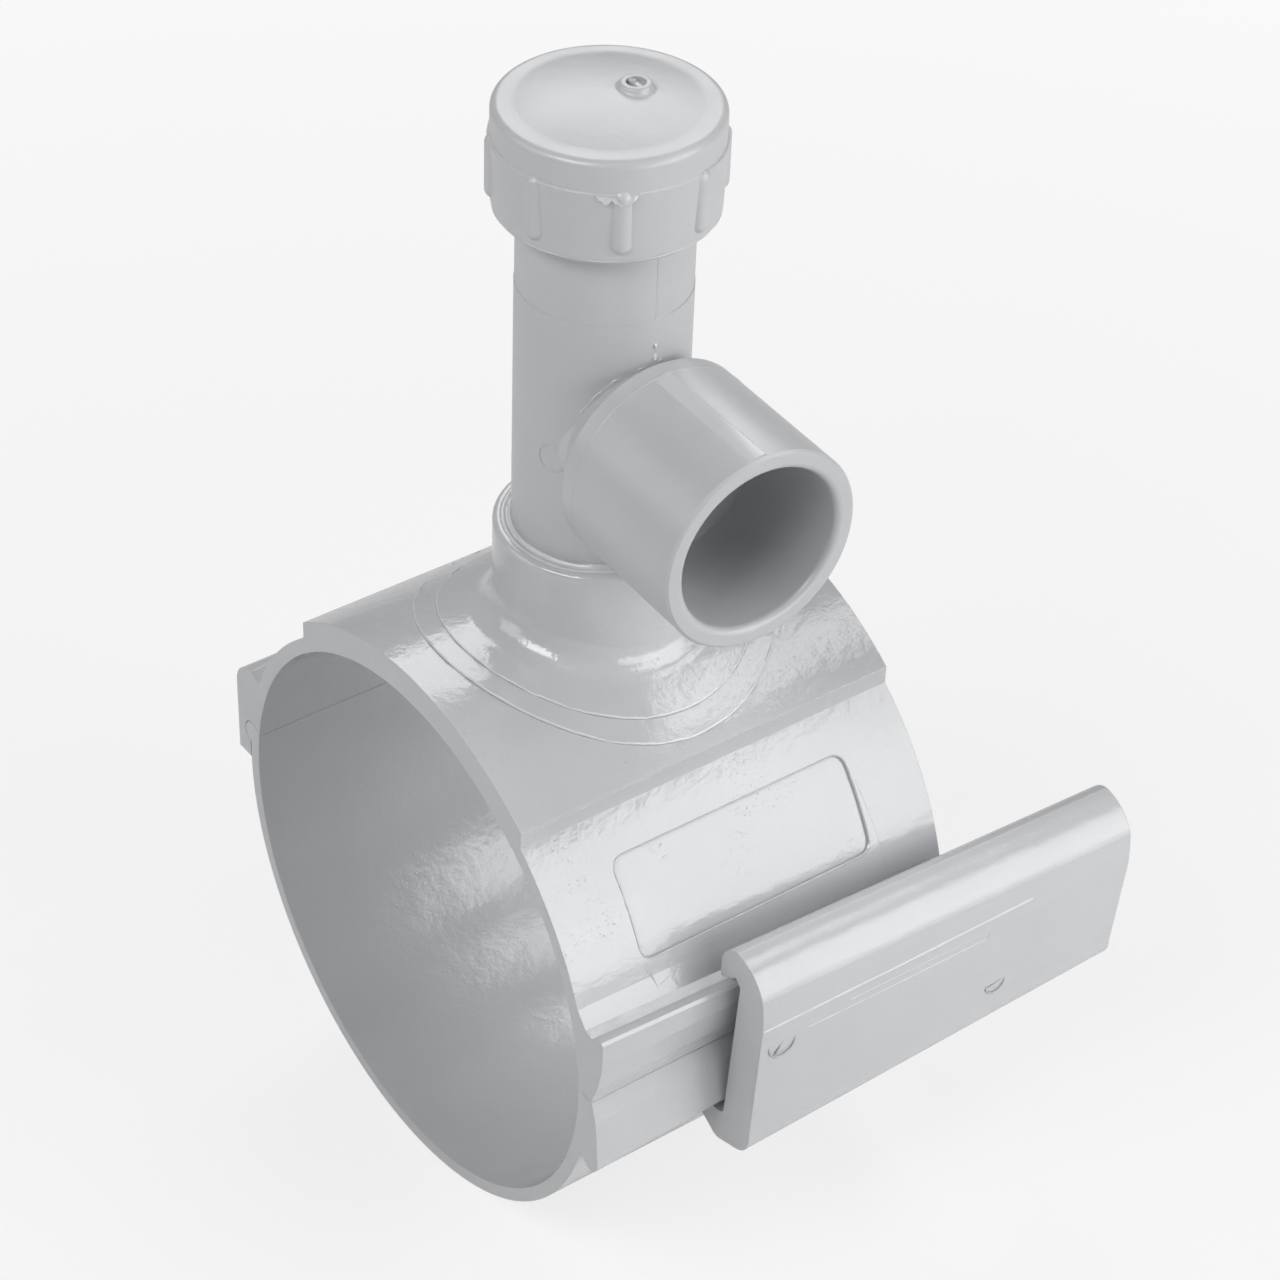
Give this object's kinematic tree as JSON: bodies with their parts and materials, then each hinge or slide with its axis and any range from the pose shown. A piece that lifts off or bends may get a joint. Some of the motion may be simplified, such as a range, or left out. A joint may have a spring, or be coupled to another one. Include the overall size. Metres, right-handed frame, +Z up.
{
  "type": "tapping saddle",
  "caption": "Clamp-on pipe saddle held by a tapered sliding wedge, with a capped tower, a side outlet socket and a screw-down cutter inside.",
  "frame": {"origin": "on the pipe axis, under the middle of the tower", "axes": "+X along the pipe, +Z up the tower away from the pipe, outlet socket towards -Y"},
  "size_m": [0.1804, 0.2048, 0.3461],
  "materials": {
    "moulded_plastic": "light grey moulded PVC, semi-gloss",
    "wedge_plastic": "light grey moulded PVC, semi-gloss, faint flow marks",
    "tee_plastic": "light grey moulded PVC, satin",
    "cap_plastic": "light grey moulded PVC, satin",
    "black_rubber": "black rubber seal",
    "brass": "machined brass",
    "steel": "ground tool steel"
  },
  "bodies": {
    "saddle": {"upper_saddle": "moulded_plastic", "lower_saddle": "moulded_plastic", "branch_oring": "black_rubber", "tee_body": "tee_plastic"},
    "wedge": {"wedge": "wedge_plastic"},
    "cap_thread": {"cap_seal": "black_rubber"},
    "cap": {"cap": "cap_plastic"},
    "cutter_thread": {"carrier_oring": "black_rubber"},
    "cutter": {"cutter_carrier": "brass", "cutter": "steel"}
  },
  "joints": [
    {"name": "wedge_slide", "type": "slide", "parent": "saddle", "child": "wedge", "axis": [1, 0, 0], "range_m": [-0.0487, 0.09]},
    {"name": "cap_lift", "type": "slide", "parent": "saddle", "child": "cap_thread", "axis": [0, 0, 1], "range_m": [0, 0.021]},
    {"name": "cap_turn", "type": "hinge", "parent": "cap_thread", "child": "cap", "pos_m": [0, 0, 0.238], "axis": [0, 0, 1], "range_deg": [0, 1800]},
    {"name": "cutter_feed", "type": "slide", "parent": "saddle", "child": "cutter_thread", "axis": [0, 0, 1], "range_m": [-0.105, 0]},
    {"name": "cutter_turn", "type": "hinge", "parent": "cutter_thread", "child": "cutter", "pos_m": [0, 0, 0.22], "axis": [0, 0, 1], "range_deg": [-11905.5, 0]}
  ],
  "couplings": [
    {"joint": "cap_lift", "follows": "cap_turn", "m_per_rad": 0.00066845},
    {"joint": "cutter_feed", "follows": "cutter_turn", "m_per_rad": 0.00050532}
  ]
}
